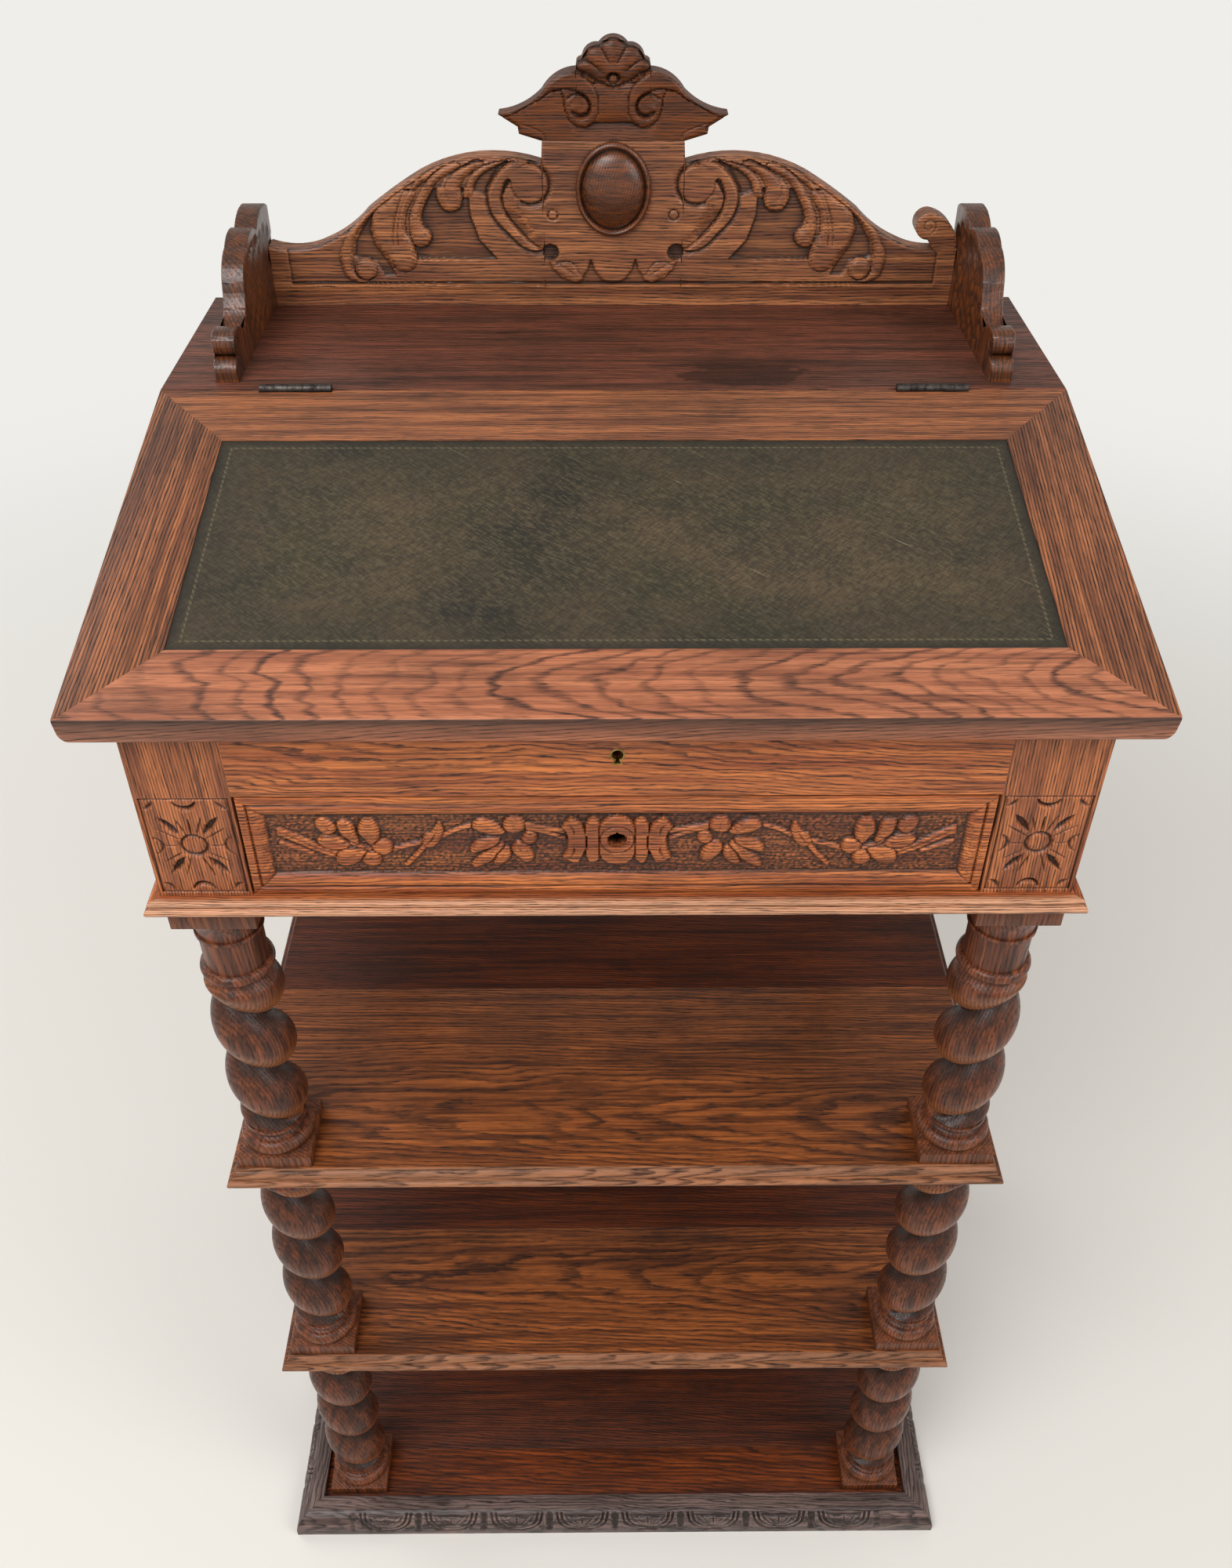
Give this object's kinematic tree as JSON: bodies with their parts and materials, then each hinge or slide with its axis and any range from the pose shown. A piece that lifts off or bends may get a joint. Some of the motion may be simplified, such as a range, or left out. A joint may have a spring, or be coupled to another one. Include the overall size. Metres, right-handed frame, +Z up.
{
  "type": "clerk's standing desk",
  "caption": "Standing writing desk: sloped hinged lid with leather panel over a case with a drawer, carved rear gallery, open shelves on barley-twist columns.",
  "frame": {"origin": "on the floor, in the middle of the rectangle that the base covers", "axes": "+Z up; the drawer and the lid face -Y; +X to the right seen from the front"},
  "size_m": [0.714, 0.538, 1.41],
  "materials": {
    "case_oak": "waxed orange-brown oak, dark open grain",
    "shelf_oak": "dark red-brown stained oak, worn wax",
    "turned_oak": "brown-black stained oak, glossy on the crests",
    "base_oak": "near-black stained oak",
    "carved_oak": "carved dark oak, waxed highlights",
    "inner_oak": "unpolished oak inside the case",
    "leather": "worn black-olive leather with a tooled border",
    "hinge_iron": "dark worn iron",
    "lock_iron": "old plain steel",
    "brass": "worn brass"
  },
  "bodies": {
    "desk": {"base_board_front": "base_oak", "base_board_rear": "base_oak", "base_rear_rail": "base_oak", "case_back": "inner_oak", "case_bottom": "inner_oak", "case_moulding_front": "case_oak", "case_moulding_left": "case_oak", "case_moulding_right": "case_oak", "case_side_left": "case_oak", "case_side_right": "case_oak", "case_stile_left": "case_oak", "case_stile_right": "case_oak", "case_top_rail": "case_oak", "column_lower_front_left": "turned_oak", "column_lower_front_right": "turned_oak", "column_lower_rear_left": "turned_oak", "column_lower_rear_right": "turned_oak", "column_middle_front_left": "turned_oak", "column_middle_front_right": "turned_oak", "column_middle_rear_left": "turned_oak", "column_middle_rear_right": "turned_oak", "column_upper_front_left": "turned_oak", "column_upper_front_right": "turned_oak", "column_upper_rear_left": "turned_oak", "column_upper_rear_right": "turned_oak", "compartment_floor": "inner_oak", "gallery_board": "carved_oak", "gallery_boss": "carved_oak", "gallery_bracket_left": "carved_oak", "gallery_bracket_right": "carved_oak", "gallery_crest": "carved_oak", "high_shelf_front_board": "shelf_oak", "high_shelf_rear_board": "shelf_oak", "hinge_fixed_leaf_left": "hinge_iron", "hinge_fixed_leaf_right": "hinge_iron", "lid_keyhole_escutcheon": "brass", "lid_lock_case": "lock_iron", "low_shelf_front_board": "shelf_oak", "low_shelf_rear_board": "shelf_oak", "skirting_front": "base_oak", "skirting_left": "base_oak", "skirting_right": "base_oak", "top_shelf": "shelf_oak"},
    "lid": {"lid_rail_front": "case_oak", "lid_rail_rear": "case_oak", "lid_stile_left": "case_oak", "lid_stile_right": "case_oak", "lid_panel": "inner_oak", "lid_leather": "leather", "hinge_moving_leaf_left": "hinge_iron", "hinge_moving_leaf_right": "hinge_iron", "lid_strike_plate": "lock_iron"},
    "drawer": {"drawer_front": "case_oak", "drawer_side_left": "inner_oak", "drawer_side_right": "inner_oak", "drawer_back": "inner_oak", "drawer_bottom": "inner_oak", "drawer_lock_case": "lock_iron"},
    "lid_bolt": {"lid_lock_bolt": "lock_iron"},
    "drawer_bolt": {"drawer_lock_bolt": "lock_iron"}
  },
  "joints": [
    {"name": "lid_hinge", "type": "hinge", "parent": "desk", "child": "lid", "pos_m": [0, 0.0735, 1.204], "axis": [-1, 0, 0], "range_deg": [0, 125]},
    {"name": "drawer_slide", "type": "slide", "parent": "desk", "child": "drawer", "axis": [0, -1, 0], "range_m": [0, 0.3]},
    {"name": "lid_lock", "type": "slide", "parent": "desk", "child": "lid_bolt", "axis": [1, 0, 0], "range_m": [0, 0.006]},
    {"name": "drawer_lock", "type": "slide", "parent": "drawer", "child": "drawer_bolt", "axis": [0, 0, 1], "range_m": [0, 0.006]}
  ]
}
